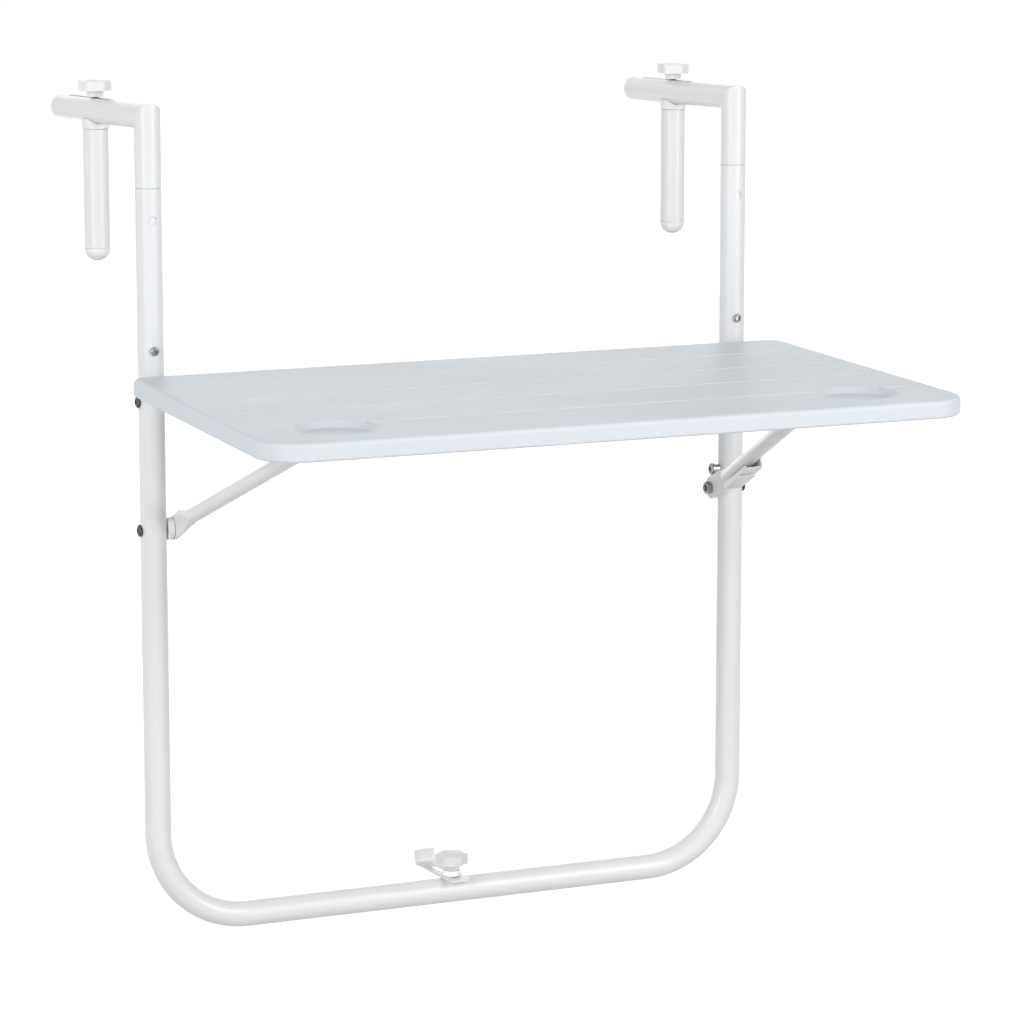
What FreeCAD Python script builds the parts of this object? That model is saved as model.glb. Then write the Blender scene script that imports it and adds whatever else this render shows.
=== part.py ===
import FreeCAD, Part
import math
import os

# Balcony railing bar table. The origin is the railing seat: midway between the two hooks,
# on the post axes, level with the underside of the arms where they leave the posts.
# X runs to the user's right, Y away from the user and over the railing, Z up.

# Frame and hook tube
tube_diameter = 22.5
tube_wall = 1.5
tube_end_bevel = 0.3
post_spacing = 542.0
bend_radius = 80.0

# Levels, counted down from the railing seat
seam_drop = 48.2
upper_hole_below_seam = 26.8
upper_hole_diameter = 7.5
height_travel = 110.5
inner_tube_past_hole = 22.5
hinge_below_inner_tube = 21.5
pivot_below_hinge = 110.7

# Arms over the railing
arm_end_margin = 26.0
arm_toe_out = 2.0
arm_droop = 2.1

# Rail clamps
clamp_position = 140.0
clamp_travel_in = 45.0
clamp_travel_out = 65.0
clamp_tube_length = 104.0
saddle_rim = 0.5
saddle_web = 4.75
saddle_wing_height = 4.25
saddle_plug_length = 16.0
cap_plug_length = 12.0

# Knobs
knob_diameter = 29.2
knob_cap_height = 8.2
knob_dome_height = 1.0
knob_edge_radius = 1.8
knob_notch_radius = 14.0
knob_notch_depth = 2.3
knob_notches = 6
right_knob_turn = 5.0
left_knob_turn = 14.0
stop_knob_turn = 9.0
knob_stem_diameter = 15.4
knob_stem_foot_diameter = 14.2
knob_stem_height = 5.5
knob_bore_depth = 10.5
stud_diameter = 6.0

# Tabletop
tabletop_overhang = 29.0
tabletop_depth = 363.0
tabletop_offset = 33.5
skirt_height = 15.0
panel_thickness = 3.0
skirt_thickness = 2.5
front_corner_radius = 35.0
back_corner_radius = 15.0
top_edge_radius = 4.0
skirt_edge_radius = 2.0
slat_pitch = 71.5
front_slat = 78.5
groove_count = 4
groove_width = 4.0
groove_floor_width = 1.6
groove_depth = 1.5
groove_end_margin = 15.0
recess_from_side = 76.0
recess_from_front = 62.5
recess_diameter = 68.0
recess_floor_diameter = 58.0
recess_depth = 5.5
drain_diameter = 5.5
drain_offset = 32.5
rib_thickness = 1.8
rib_depth = 4.5
cross_rib_count = 7
long_rib_count = 4
catch_rib_spacing = 90.0
catch_rib_count = 4
catch_rib_thickness = 2.6
catch_lip_room = 4.3
catch_lip_length = 6.0
catch_lip_rise = 2.0
boss_diameter = 12.0
boss_height = 6.2

# Hinge brackets
bracket_thickness = 2.5
bracket_skirt_room = 1.3
bracket_flange_start = 38.0
bracket_length = 92.0
bracket_tail_depth = 10.0
bracket_flange_width = 34.0
bracket_screw_spacing = 28.0
bracket_screw_first = 52.0
bracket_screw_diameter = 4.0
bracket_screw_length = 9.0
bracket_screw_head_diameter = 8.0
bracket_screw_head_height = 2.4
bracket_screw_key = 2.8
screw_tip_cover = 1.0

# Support bar
bar_diameter = 13.0
bar_wall = 1.3
bar_reach = 305.0
bar_lean = 8.4
bar_corner_radius = 34.0
bar_flat_width = 20.0
bar_flat_thickness = 2.5
bar_flat_length = 25.0
bar_taper_length = 22.0
bar_drain_diameter = 4.0
bar_rib_room = 2.86
flat_section_inset = 0.05
flat_corner_share = 0.85

# Clip on the right leg of the support bar
clip_start = 52.0
clip_step = 98.0
clip_end = 122.0
clip_thickness = 1.5
clip_deep_reach = 6.6
clip_shallow_reach = 4.9
clip_opening = 1.8
rivet_diameter = 4.0
rivet_head_diameter = 7.0
rivet_head_height = 1.0
rivet_bulb_diameter = 5.6
rivet_bulb_length = 2.0

# Bolts, nuts, screws and spacers
bolt_diameter = 6.0
bolt_head_diameter = 10.5
bolt_head_height = 2.6
bolt_past_nut = 1.0
nut_width = 10.0
nut_height = 4.8
spacer_diameter = 19.0
spacer_thickness = 5.3
stop_head_diameter = 10.6
stop_head_past_bar = 0.6
stop_neck_diameter = 8.0
stop_shank_length = 5.5
height_head_diameter = 7.6
height_head_height = 2.6
head_dome_share = 0.3
key_width = 4.0
key_depth = 1.8

# Wall stop
stop_plate_width = 19.5
stop_plate_thickness = 2.0
stop_plate_front = 19.0
stop_plate_turn = 7.3
stop_lip_height = 13.3
stop_lip_bend = 2.0
stop_lip_offset = 19.0
stop_travel_out = 7.0
stop_travel_in = 33.0
stop_collar_diameter = 17.5
stop_collar_height = 4.6
stop_collar_taper = 1.2
stop_knob_lift = 0.3
insert_diameter = 8.4
insert_length = 9.0
insert_cover = 2.0

# Clearances
pin_clearance = 0.05
slot_clearance = 0.5
plug_clearance = 0.05
sleeve_clearance = 0.1
moving_gap = 0.3
seat_gap = 0.1
fold_clearance = 0.55
folded_bar_clearance = 1.85

tube_radius = tube_diameter / 2
bore_radius = tube_radius - tube_wall
bar_radius = bar_diameter / 2
post_x = post_spacing / 2
post_inner_x = post_x - tube_radius
post_outer_x = post_x + tube_radius
bolt_radius = bolt_diameter / 2
bolt_hole_radius = bolt_radius + pin_clearance
stud_radius = stud_diameter / 2
stud_hole_radius = stud_radius + pin_clearance
slot_width = stud_diameter + 2 * slot_clearance
screw_hole_radius = bracket_screw_diameter / 2 + pin_clearance
half_diagonal = math.sqrt(0.5)

seam_z = -seam_drop
upper_hole_z = seam_z - upper_hole_below_seam
lower_hole_z = upper_hole_z - height_travel
inner_tube_z = lower_hole_z - inner_tube_past_hole
hinge_z = inner_tube_z - hinge_below_inner_tube
pivot_z = hinge_z - pivot_below_hinge

# Folded down, the tabletop's skirt lies just in front of the posts
skirt_bottom_z = hinge_z + tube_radius + fold_clearance
tabletop_z = skirt_bottom_z + skirt_height
underside_z = tabletop_z - panel_thickness
rib_low_z = underside_z - rib_depth
flange_top_z = underside_z - boss_height
tabletop_half_width = post_x + tabletop_overhang
tabletop_back_y = -tabletop_offset
tabletop_front_y = tabletop_back_y - tabletop_depth

# The support bar's crossbar lies just under the tabletop's ribs
bar_cross_z = rib_low_z - bar_rib_room - bar_radius
elevation = math.asin((bar_cross_z - pivot_z) / bar_reach)
bar_cross_y = -bar_reach * math.cos(elevation)

# Wall stop stack, and the crossbar below the folded support bar
plate_over_axis = tube_radius + moving_gap
knob_over_axis = plate_over_axis + stop_plate_thickness + moving_gap + stop_collar_height + stop_knob_lift
knob_height = knob_stem_height + knob_cap_height + knob_dome_height
crossbar_z = pivot_z - bar_reach - bar_radius - folded_bar_clearance - knob_over_axis - knob_height


def vec(x, y, z):
    return FreeCAD.Vector(x, y, z)


axis_x = vec(1, 0, 0)
axis_y = vec(0, 1, 0)
axis_z = vec(0, 0, 1)
zero = vec(0, 0, 0)


def rod(radius, start, end):
    """Round bar from one point to another."""
    along = end - start
    return Part.makeCylinder(radius, along.Length, start, along)


def cone(radius_start, radius_end, start, end):
    """Tapered round bar from one point to another."""
    along = end - start
    return Part.makeCone(radius_start, radius_end, along.Length, start, along)


def block(x_range, y_range, z_range):
    """Box from its three pairs of limits."""
    low = vec(min(x_range), min(y_range), min(z_range))
    high = vec(max(x_range), max(y_range), max(z_range))
    size = high - low
    return Part.makeBox(size.x, size.y, size.z, low)


def fused(pieces):
    """One solid from touching or overlapping pieces."""
    return pieces[0].multiFuse(pieces[1:]).removeSplitter()


def mirrored(shape):
    """The same piece for the other side."""
    return shape.mirror(zero, axis_x)


def end_bevel(end, way):
    """Cutter that bevels the outer edge of a tube whose end faces along a direction."""
    start = end - way * tube_end_bevel
    past = end + way * tube_end_bevel
    return rod(tube_diameter, start, past).cut(cone(tube_radius, tube_radius - 2 * tube_end_bevel, start, past))


def half_space(point, normal, size):
    """Large cylinder that fills one side of a plane."""
    return Part.makeCylinder(size, size, point, normal)


def plate(points, thickness, direction):
    """Flat plate from its corner points, thickened along a direction."""
    outline = Part.makePolygon(points + [points[0]])
    return Part.Face(outline).extrude(direction * thickness)


def slot_cutter(start, end, width, low, high):
    """Long hole with round ends between two points, from one level to another."""
    radius = width / 2
    along = FreeCAD.Vector(end - start).normalize()
    across = axis_z.cross(along).normalize() * radius
    first = vec(start.x, start.y, low)
    last = vec(end.x, end.y, low)
    middle = plate([first - across, last - across, last + across, first + across], high - low, axis_z)
    ends = [rod(radius, point, point + axis_z * (high - low)) for point in (first, last)]
    return fused([middle] + ends)


def export(name, shape):
    """Write one node."""
    shape.exportStep("parts/" + name + ".step")


def hex_prism(width, start, way, length):
    """Hexagon bar that starts at a point and runs along any axis direction."""
    side = axis_z if abs(way.z) < 0.5 else axis_y
    across = way.cross(side).normalize()
    corner = width / math.sqrt(3)
    corners = []
    for index in range(6):
        angle = math.radians(60 * index)
        corners.append(start + side * (corner * math.cos(angle)) + across * (corner * math.sin(angle)))
    return plate(corners, length, way)


def bolt_with_head(seat, direction, length, head_diameter, head_height):
    """Screw with a round head and a key socket: seat is where the head meets the work."""
    way = FreeCAD.Vector(direction).normalize()
    head_end = seat - way * head_height
    dome = head_height * head_dome_share
    head = fused([
        rod(head_diameter / 2, seat, seat - way * (head_height - dome)),
        cone(head_diameter / 2, head_diameter / 2 - dome, seat - way * (head_height - dome), head_end),
        rod(bolt_radius, seat, seat + way * length),
    ])
    socket = hex_prism(key_width, head_end, way, key_depth)
    return head.cut(socket)


def nut(start_x, z):
    """Right nut on a bolt along X, from start_x inwards."""
    start = vec(start_x, 0, z)
    end = start - axis_x * nut_height
    return hex_prism(nut_width, start, axis_x * -1, nut_height).cut(rod(bolt_hole_radius, start, end))


# The stop bolt's head lies just above the flattened end of the right leg at the working angle
stop_bolt_rise = (bar_flat_width / 2 + stop_head_diameter / 2 + moving_gap) / math.cos(elevation)
stop_bolt_z = pivot_z + stop_bolt_rise


# Frame tube: two posts and a crossbar in one bent tube
def bent_frame_rod(radius, top_z):
    centre_z = crossbar_z + bend_radius
    centre_x = post_x - bend_radius
    quarter = Part.Face(Part.Wire(Part.makeCircle(radius, vec(post_x, 0, centre_z), axis_z)))
    bend = quarter.revolve(vec(centre_x, 0, centre_z), axis_y, 90)
    post = rod(radius, vec(post_x, 0, centre_z), vec(post_x, 0, top_z))
    crossbar = rod(radius, vec(-centre_x, 0, crossbar_z), vec(centre_x, 0, crossbar_z))
    return fused([crossbar, bend, post, mirrored(bend), mirrored(post)])


def frame_tube():
    top_z = seam_z - moving_gap
    outside = bent_frame_rod(tube_radius, top_z)
    inside = bent_frame_rod(bore_radius, top_z + tube_diameter)
    tube = outside.cut(inside)
    for side in (-1, 1):
        for z in (hinge_z, pivot_z):
            hole = rod(bolt_hole_radius, vec(side * post_inner_x, 0, z), vec(side * post_outer_x, 0, z))
            tube = tube.cut(hole)
        for z, radius in ((upper_hole_z, upper_hole_diameter / 2), (lower_hole_z, bolt_hole_radius)):
            tube = tube.cut(rod(radius, vec(side * post_x, 0, z), vec(side * post_x, -tube_diameter, z)))
        tube = tube.cut(end_bevel(vec(side * post_x, 0, top_z), axis_z))
    stop_hole = rod(bolt_hole_radius, vec(post_inner_x - 1, 0, stop_bolt_z), vec(post_x, 0, stop_bolt_z))
    insert_place = vec(0, 0, crossbar_z)
    insert_hole = rod(insert_diameter / 2 + pin_clearance, insert_place, insert_place + axis_z * tube_diameter)
    return tube.cut(stop_hole).cut(insert_hole)


# Hooks: the arm's direction includes its toe-out and its droop
toe = math.radians(arm_toe_out)
droop = math.radians(arm_droop)
arm_way = vec(math.sin(toe) * math.cos(droop), math.cos(toe) * math.cos(droop), -math.sin(droop))
corner_point = vec(post_x, 0, tube_radius)
arm_length = clamp_position + clamp_travel_out + arm_end_margin
arm_end = corner_point + arm_way * arm_length
clamp_point = corner_point + arm_way * clamp_position


def elbow_rod(radius, low_z):
    """Vertical tube and arm, mitred where their axes cross."""
    mitre_normal = (arm_way + axis_z).normalize()
    reach = 2 * arm_length
    post = rod(radius, vec(post_x, 0, low_z), corner_point + axis_z * tube_diameter)
    arm = rod(radius, corner_point - arm_way * tube_diameter, arm_end)
    post = post.cut(half_space(corner_point, mitre_normal, reach))
    arm = arm.cut(half_space(corner_point, mitre_normal * -1, reach))
    return fused([post, arm])


def hook_tube():
    outside = elbow_rod(tube_radius, seam_z)
    inside = elbow_rod(bore_radius, seam_z + tube_wall)
    open_end = rod(bore_radius, arm_end - arm_way, arm_end + arm_way)
    inner_radius = bore_radius - sleeve_clearance
    plug = rod(inner_radius, vec(post_x, 0, inner_tube_z), vec(post_x, 0, seam_z + tube_wall))
    plug_bore_radius = inner_radius - tube_wall
    plug_bore = rod(plug_bore_radius, vec(post_x, 0, inner_tube_z), vec(post_x, 0, seam_z + 2 * tube_wall))
    hook = fused([outside.cut(inside), plug]).cut(plug_bore).cut(open_end)
    screw_hole = rod(bolt_hole_radius, vec(post_x, 0, lower_hole_z), vec(post_x, -tube_diameter, lower_hole_z))
    slot_start = corner_point + arm_way * (clamp_position - clamp_travel_in - slot_clearance)
    slot_end = corner_point + arm_way * (clamp_position + clamp_travel_out + slot_clearance)
    slot = slot_cutter(slot_start, slot_end, slot_width, -tube_diameter, tube_diameter * 1.5)
    return hook.cut(screw_hole).cut(slot).cut(end_bevel(vec(post_x, 0, seam_z), axis_z * -1))


def domed_cap(end_point, way):
    """Half-ball cap on a tube end, with a plug inside the tube."""
    ball = Part.makeSphere(tube_radius, end_point)
    dome = ball.common(half_space(end_point, way, tube_diameter))
    plug = rod(bore_radius - plug_clearance, end_point - way * cap_plug_length, end_point)
    return fused([dome, plug])


def arm_end_cap():
    return domed_cap(arm_end + arm_way * seat_gap, arm_way)


# Rail clamps
clamp_seam_drop = tube_radius + saddle_web
clamp_cap_drop = clamp_seam_drop + clamp_tube_length


def at_clamp(drop):
    return vec(clamp_point.x, clamp_point.y, clamp_point.z - drop)


def clamp_tube():
    top = at_clamp(clamp_seam_drop + seat_gap)
    bottom = at_clamp(clamp_cap_drop)
    tube = rod(tube_radius, top, bottom).cut(rod(bore_radius, top + axis_z, bottom - axis_z))
    return tube.cut(end_bevel(top, axis_z)).cut(end_bevel(bottom, axis_z * -1))


def clamp_saddle():
    seam = at_clamp(clamp_seam_drop)
    low = at_clamp(clamp_seam_drop + saddle_plug_length)
    wings = rod(tube_radius + saddle_rim, seam, at_clamp(tube_radius - saddle_wing_height))
    plug = rod(bore_radius - plug_clearance, low, seam)
    reach = arm_way * tube_diameter
    arm_clear = rod(tube_radius + moving_gap, clamp_point - reach, clamp_point + reach)
    bore = rod(stud_hole_radius, low - axis_z, clamp_point)
    return fused([wings, plug]).cut(arm_clear).cut(bore)


def clamp_end_cap():
    return domed_cap(at_clamp(clamp_cap_drop + seat_gap), axis_z * -1)


def knob(foot, turn):
    """Six-sided knob that stands on its stem at the point foot, axis along Z, turned about it."""
    cap_radius = knob_diameter / 2
    stem_top = knob_stem_height
    cap_top = stem_top + knob_cap_height
    edge = knob_edge_radius
    slant = edge * (1 - half_diagonal)
    outline = Part.Wire([
        Part.makeLine(vec(0, 0, stem_top), vec(cap_radius - edge, 0, stem_top)),
        Part.Arc(vec(cap_radius - edge, 0, stem_top), vec(cap_radius - slant, 0, stem_top + slant),
                 vec(cap_radius, 0, stem_top + edge)).toShape(),
        Part.makeLine(vec(cap_radius, 0, stem_top + edge), vec(cap_radius, 0, cap_top - edge)),
        Part.Arc(vec(cap_radius, 0, cap_top - edge), vec(cap_radius - slant, 0, cap_top - slant),
                 vec(cap_radius - edge, 0, cap_top)).toShape(),
        Part.makeLine(vec(cap_radius - edge, 0, cap_top), vec(0, 0, cap_top + knob_dome_height)),
        Part.makeLine(vec(0, 0, cap_top + knob_dome_height), vec(0, 0, stem_top)),
    ])
    cap = Part.Face(outline).revolve(zero, axis_z, 360)
    notch_centre = cap_radius + knob_notch_radius - knob_notch_depth
    for index in range(knob_notches):
        angle = math.radians(360 / knob_notches * index + turn)
        place = vec(notch_centre * math.cos(angle), notch_centre * math.sin(angle), 0)
        cap = cap.cut(rod(knob_notch_radius, place, place + axis_z * (2 * knob_height)))
    stem = cone(knob_stem_foot_diameter / 2, knob_stem_diameter / 2, zero, axis_z * (stem_top + edge))
    body = fused([cap, stem]).cut(rod(stud_hole_radius, axis_z * -1, axis_z * knob_bore_depth))
    body.translate(foot)
    return body


# The knob stem's foot clears the crest of the drooping arm
stem_tilt_room = knob_stem_foot_diameter / 2 * math.tan(droop)
clamp_knob_foot = clamp_point + axis_z * (tube_radius / math.cos(droop) + stem_tilt_room + moving_gap)


def clamp_knob(turn):
    return knob(clamp_knob_foot, turn)


def clamp_stud():
    top = clamp_knob_foot + axis_z * (knob_bore_depth - seat_gap)
    return rod(stud_radius, at_clamp(clamp_seam_drop + saddle_plug_length), top)


# Tabletop: one moulded panel with a skirt, hollow and ribbed underneath
def rounded_slab(inset, low, high):
    """Slab with the tabletop's outline, inset all round."""
    right = tabletop_half_width - inset
    left = -right
    back = tabletop_back_y - inset
    front = tabletop_front_y + inset
    front_radius = front_corner_radius - inset
    back_radius = back_corner_radius - inset

    def corner(x, y, radius, way_x, way_y):
        centre = vec(x - way_x * radius, y - way_y * radius, low)
        on_x = centre + vec(way_x * radius, 0, 0)
        on_y = centre + vec(0, way_y * radius, 0)
        middle = centre + vec(way_x, way_y, 0) * (radius * half_diagonal)
        return on_x, middle, on_y

    back_right = corner(right, back, back_radius, 1, 1)
    front_right = corner(right, front, front_radius, 1, -1)
    front_left = corner(left, front, front_radius, -1, -1)
    back_left = corner(left, back, back_radius, -1, 1)
    edges = [
        Part.Arc(*back_right).toShape(),
        Part.makeLine(back_right[2], back_left[2]),
        Part.Arc(back_left[2], back_left[1], back_left[0]).toShape(),
        Part.makeLine(back_left[0], front_left[0]),
        Part.Arc(*front_left).toShape(),
        Part.makeLine(front_left[2], front_right[2]),
        Part.Arc(front_right[2], front_right[1], front_right[0]).toShape(),
        Part.makeLine(front_right[0], back_right[0]),
    ]
    return Part.Face(Part.Wire(edges)).extrude(axis_z * (high - low))


front_groove_y = tabletop_front_y + front_slat
recess_y = tabletop_front_y + recess_from_front
recess_xs = (recess_from_side - tabletop_half_width, tabletop_half_width - recess_from_side)


def groove_cutter(index):
    """Groove across the top, counted from the front."""
    y = front_groove_y + slat_pitch * index
    start_x = groove_end_margin - tabletop_half_width
    above = 1.0
    slope = (groove_width - groove_floor_width) / 2 / groove_depth
    wide = groove_width / 2 + slope * above
    narrow = groove_floor_width / 2
    top = tabletop_z + above
    floor = tabletop_z - groove_depth
    points = [vec(start_x, y - wide, top), vec(start_x, y - narrow, floor),
              vec(start_x, y + narrow, floor), vec(start_x, y + wide, top)]
    return plate(points, -2 * start_x, axis_x)


def recess_cone(x, wall, drop):
    """Tapered cup recess, or its outer wall when a wall thickness is given."""
    top = vec(x, recess_y, tabletop_z + (1.0 if wall == 0 else -panel_thickness / 2))
    slope = (recess_diameter - recess_floor_diameter) / 2 / recess_depth
    rise = top.z - tabletop_z
    top_radius = recess_diameter / 2 + slope * rise + wall
    floor_radius = recess_floor_diameter / 2 - slope * (drop - recess_depth) + wall
    return cone(top_radius, floor_radius, top, vec(x, recess_y, tabletop_z - drop))


def catch_rib(x):
    """Moulded rib that rests on the support bar, with a shallow lip ahead of it."""
    half = catch_rib_thickness / 2
    seat_z = bar_cross_z + bar_radius + moving_gap
    lip_z = bar_cross_z + catch_lip_rise
    lip_back_y = bar_cross_y - bar_radius - catch_lip_room
    seat = block((x - half, x + half), (lip_back_y, bar_cross_y + bar_diameter * 2), (seat_z, underside_z + 1))
    lip = block((x - half, x + half), (lip_back_y - catch_lip_length, lip_back_y), (lip_z, underside_z + 1))
    return [seat, lip]


# Screw holes stop short of the tabletop's surface
screw_seat_z = flange_top_z - bracket_thickness - seat_gap
screw_hole_end_z = min(screw_seat_z + bracket_screw_length + seat_gap, tabletop_z - screw_tip_cover)


def bracket_screw_places():
    places = []
    for side in (-1, 1):
        x = side * (post_inner_x - moving_gap - bracket_flange_width / 2)
        for index in range(2):
            places.append(vec(x, -bracket_screw_first - bracket_screw_spacing * index, 0))
    return places


def tabletop_panel():
    body = rounded_slab(0, skirt_bottom_z, tabletop_z)
    for level, radius in ((tabletop_z, top_edge_radius), (skirt_bottom_z, skirt_edge_radius)):
        rim = [edge for edge in body.Edges if all(abs(v.Z - level) < 0.01 for v in edge.Vertexes)]
        body = body.makeFillet(radius, rim)
    hollow = rounded_slab(skirt_thickness, skirt_bottom_z - 1, underside_z)
    shell = body.cut(hollow)
    inside = rounded_slab(skirt_thickness - 0.5, skirt_bottom_z, underside_z + 1)
    half_rib = rib_thickness / 2
    rib_levels = (rib_low_z, underside_z + 1)
    ribs = []
    for index in range(cross_rib_count):
        x = tabletop_half_width * (2 * (index + 1) / (cross_rib_count + 1) - 1)
        ribs.append(block((x - half_rib, x + half_rib), (tabletop_front_y, tabletop_back_y), rib_levels))
    for index in range(long_rib_count):
        y = tabletop_back_y - tabletop_depth * (index + 1) / (long_rib_count + 1)
        rib_place = (y - half_rib, y + half_rib)
        ribs.append(block((-tabletop_half_width, tabletop_half_width), rib_place, rib_levels))
    for index in range(catch_rib_count):
        x = catch_rib_spacing * (index - (catch_rib_count - 1) / 2)
        ribs.extend(catch_rib(x))
    ribs = [rib.common(inside) for rib in ribs]
    bosses = []
    for place in bracket_screw_places():
        low = vec(place.x, place.y, flange_top_z + seat_gap)
        bosses.append(rod(boss_diameter / 2, low, vec(place.x, place.y, underside_z + 1)))
    cups = [recess_cone(x, skirt_thickness, recess_depth + skirt_thickness) for x in recess_xs]
    panel = fused([shell] + ribs + bosses + cups)
    for x in recess_xs:
        panel = panel.cut(recess_cone(x, 0, recess_depth))
    for index in range(groove_count):
        panel = panel.cut(groove_cutter(index))
    for x in recess_xs:
        place = vec(x + drain_offset, front_groove_y, 0)
        drain = rod(drain_diameter / 2, place + axis_z * skirt_bottom_z, place + axis_z * (tabletop_z + 1))
        panel = panel.cut(drain)
    for place in bracket_screw_places():
        hole = rod(screw_hole_radius, place + axis_z * skirt_bottom_z, place + axis_z * screw_hole_end_z)
        panel = panel.cut(hole)
    return panel


def hinge_bracket():
    """Right bracket: an eye on the hinge bolt, an ear under the back skirt, and a flange."""
    outer_x = post_inner_x - moving_gap
    eye_radius = skirt_bottom_z - hinge_z - bracket_skirt_room
    eye_top = hinge_z + eye_radius
    points = [
        vec(outer_x, 0, eye_top),
        vec(outer_x, -bracket_flange_start, eye_top),
        vec(outer_x, -bracket_flange_start, flange_top_z),
        vec(outer_x, -bracket_length, flange_top_z),
        vec(outer_x, -bracket_length, flange_top_z - bracket_tail_depth),
        vec(outer_x, 0, hinge_z - eye_radius),
    ]
    ear = plate(points, bracket_thickness, axis_x * -1)
    hinge = vec(outer_x, 0, hinge_z)
    eye = rod(eye_radius, hinge, hinge - axis_x * bracket_thickness)
    flange = block((outer_x - bracket_flange_width, outer_x), (-bracket_flange_start, -bracket_length),
                   (flange_top_z - bracket_thickness, flange_top_z))
    bracket = fused([ear, eye, flange])
    bracket = bracket.cut(rod(bolt_hole_radius, hinge, hinge - axis_x * bracket_thickness))
    for place in bracket_screw_places():
        if place.x > 0:
            hole = rod(screw_hole_radius, place + axis_z * skirt_bottom_z, place + axis_z * tabletop_z)
            bracket = bracket.cut(hole)
    return bracket


def bracket_screws():
    screws = []
    for place in bracket_screw_places():
        seat = place + axis_z * screw_seat_z
        head_end = seat - axis_z * bracket_screw_head_height
        head = rod(bracket_screw_head_diameter / 2, seat, head_end)
        shank = rod(bracket_screw_diameter / 2, seat, place + axis_z * (screw_hole_end_z - seat_gap))
        socket = hex_prism(bracket_screw_key, head_end, axis_z, bracket_screw_head_height / 2)
        screws.append(fused([head, shank]).cut(socket))
    return screws


# Support bar, drawn in its own plane: u runs from the pivot up to the crossbar
bar_outer_x = post_inner_x - seat_gap - spacer_thickness - moving_gap
bar_inner_x = bar_outer_x - bar_flat_thickness
bar_flat_x = (bar_outer_x + bar_inner_x) / 2
lean = math.radians(bar_lean)
bar_way = vec(0, -math.cos(elevation), math.sin(elevation))
bar_up = bar_way.cross(axis_x)
leg_way = bar_way * math.cos(lean) - axis_x * math.sin(lean)
clip_side = leg_way.cross(bar_up)
taper_u = bar_flat_length + bar_taper_length
rivet_us = ((clip_start + clip_step) / 2, (clip_step + clip_end) / 2)


def bar_point(u, x):
    return axis_x * x + bar_way * u + axis_z * pivot_z


def leg_point(u):
    """Point on the right leg's axis."""
    return bar_point(u, bar_flat_x - (u - bar_flat_length) * math.tan(lean))


def four_arcs(centre, wide_way, thin_way, side, half, shoulder, corner):
    """Closed outline of four arcs: side and half are its half sizes, shoulder and corner where arcs meet."""
    def point(a, b):
        return centre + wide_way * a + thin_way * b

    east = Part.Arc(point(shoulder, -corner), point(side, 0), point(shoulder, corner)).toShape()
    north = Part.Arc(point(shoulder, corner), point(0, half), point(-shoulder, corner)).toShape()
    west = Part.Arc(point(-shoulder, corner), point(-side, 0), point(-shoulder, -corner)).toShape()
    south = Part.Arc(point(-shoulder, -corner), point(0, -half), point(shoulder, -corner)).toShape()
    return Part.Wire([east, north, west, south])


def bar_rod(radius, start_u):
    """Both legs, the corner bends and the crossbar as round bar."""
    turn = math.pi / 2 - lean
    corner = leg_point(bar_reach)
    setback = bar_corner_radius * math.tan(turn / 2)
    leg_end = corner - leg_way * setback
    cross_start = corner - axis_x * setback
    bend_axis = axis_x.cross(leg_way).normalize()
    centre = leg_end + bend_axis.cross(leg_way) * bar_corner_radius
    section = Part.Face(Part.Wire(Part.makeCircle(radius, leg_end, leg_way)))
    bend = section.revolve(centre, bend_axis, math.degrees(turn))
    leg = rod(radius, leg_point(start_u), leg_end)
    crossbar = rod(radius, cross_start, vec(-cross_start.x, cross_start.y, cross_start.z))
    return fused([crossbar, bend, leg, mirrored(bend), mirrored(leg)])


def bar_end():
    """Right flattened end and the taper into the round leg."""
    half_width = bar_flat_width / 2
    edge = bar_up * half_width
    start = bar_point(0, bar_outer_x)
    end = bar_point(bar_flat_length, bar_outer_x)
    flat = plate([start - edge, end - edge, end + edge, start + edge], bar_flat_thickness, axis_x * -1)
    eye = rod(half_width, start, start - axis_x * bar_flat_thickness)
    half_flat = bar_flat_thickness / 2 - flat_section_inset
    side = half_width - flat_section_inset
    flat_section = four_arcs(bar_point(bar_flat_length - 1, bar_flat_x), bar_up, axis_x, side, half_flat,
                             side - half_flat / 2, half_flat * flat_corner_share)
    shoulder = bar_radius * half_diagonal
    round_section = four_arcs(leg_point(taper_u), bar_up, clip_side * -1,
                              bar_radius, bar_radius, shoulder, shoulder)
    taper = Part.makeLoft([flat_section, round_section], True, True)
    return fused([flat, eye, taper])


def rivet_holes():
    holes = []
    for u in rivet_us:
        place = leg_point(u)
        holes.append(rod(rivet_diameter / 2 + pin_clearance, place - clip_side * bar_diameter, place))
    return holes


def support_bar():
    end = bar_end()
    outside = fused([bar_rod(bar_radius, taper_u), end, mirrored(end)])
    bar = outside.cut(bar_rod(bar_radius - bar_wall, taper_u + bar_wall))
    for side in (-1, 1):
        hole = rod(bolt_hole_radius, vec(side * bar_inner_x, 0, pivot_z), vec(side * bar_outer_x, 0, pivot_z))
        bar = bar.cut(hole)
    cross = vec(0, bar_cross_y, bar_cross_z)
    bar = bar.cut(rod(bar_drain_diameter / 2, cross, cross - bar_up * bar_diameter))
    return bar.cut(rivet_holes())


def clip_channel(start_u, end_u, reach):
    """Channel under the right leg, hung from a wall on the leg's outer side, open along its inner side."""
    start = leg_point(start_u)
    length = (end_u - start_u) / math.cos(lean)
    inner = clip_side * (bar_radius + moving_gap / 2)
    outer = inner + clip_side * clip_thickness
    low = bar_up * (bar_radius + reach)
    floor = low - bar_up * clip_thickness
    brim = bar_up * (bar_radius + clip_opening)
    section = [start - outer, start - outer - low, start + outer - low, start + outer - brim,
               start + inner - brim, start + inner - floor, start - inner - floor, start - inner]
    return plate(section, length, leg_way)


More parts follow.
